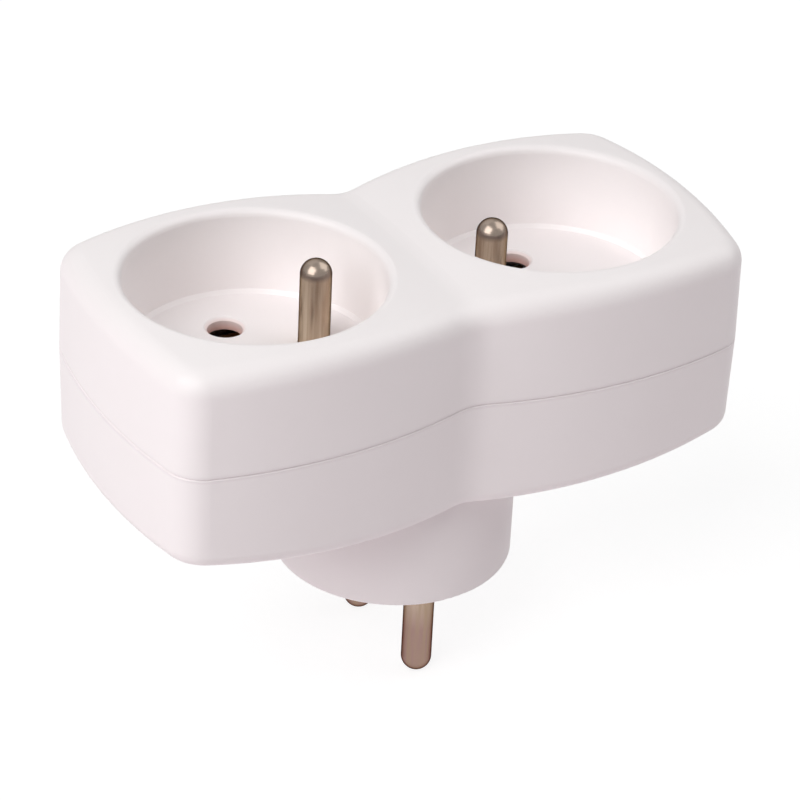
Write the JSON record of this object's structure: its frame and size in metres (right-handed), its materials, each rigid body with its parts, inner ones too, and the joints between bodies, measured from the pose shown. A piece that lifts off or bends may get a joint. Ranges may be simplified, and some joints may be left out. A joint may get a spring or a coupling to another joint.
{
  "type": "multi socket adapter",
  "caption": "White moulded mains adapter: a round plug with bare pins below and a row of round recessed sockets with standing earth pins above.",
  "frame": {"origin": "centre of the plug's front face, between its two pins", "axes": "+X along the row of sockets, +Z out of the sockets, plug pins along -Z and spaced along Y"},
  "size_m": [0.0996, 0.0506, 0.0719],
  "materials": {
    "housing": "moulded white ABS, satin to gloss",
    "plated_pin": "nickel-plated turned brass",
    "brass_strip": "stamped brass strip",
    "spring_brass": "folded spring brass",
    "screw_steel": "zinc-plated steel"
  },
  "bodies": {
    "root": {"upper_housing": "housing", "lower_housing": "housing", "left_earth_pin": "plated_pin", "right_earth_pin": "plated_pin", "line_plug_pin": "plated_pin", "neutral_plug_pin": "plated_pin", "line_bus_bar": "brass_strip", "neutral_bus_bar": "brass_strip", "earth_bar": "brass_strip", "plug_earth_sleeve": "spring_brass", "left_line_contact": "spring_brass", "right_line_contact": "spring_brass", "left_neutral_contact": "spring_brass", "right_neutral_contact": "spring_brass", "contact_rivets": "brass_strip", "housing_screws": "screw_steel"}
  },
  "joints": []
}
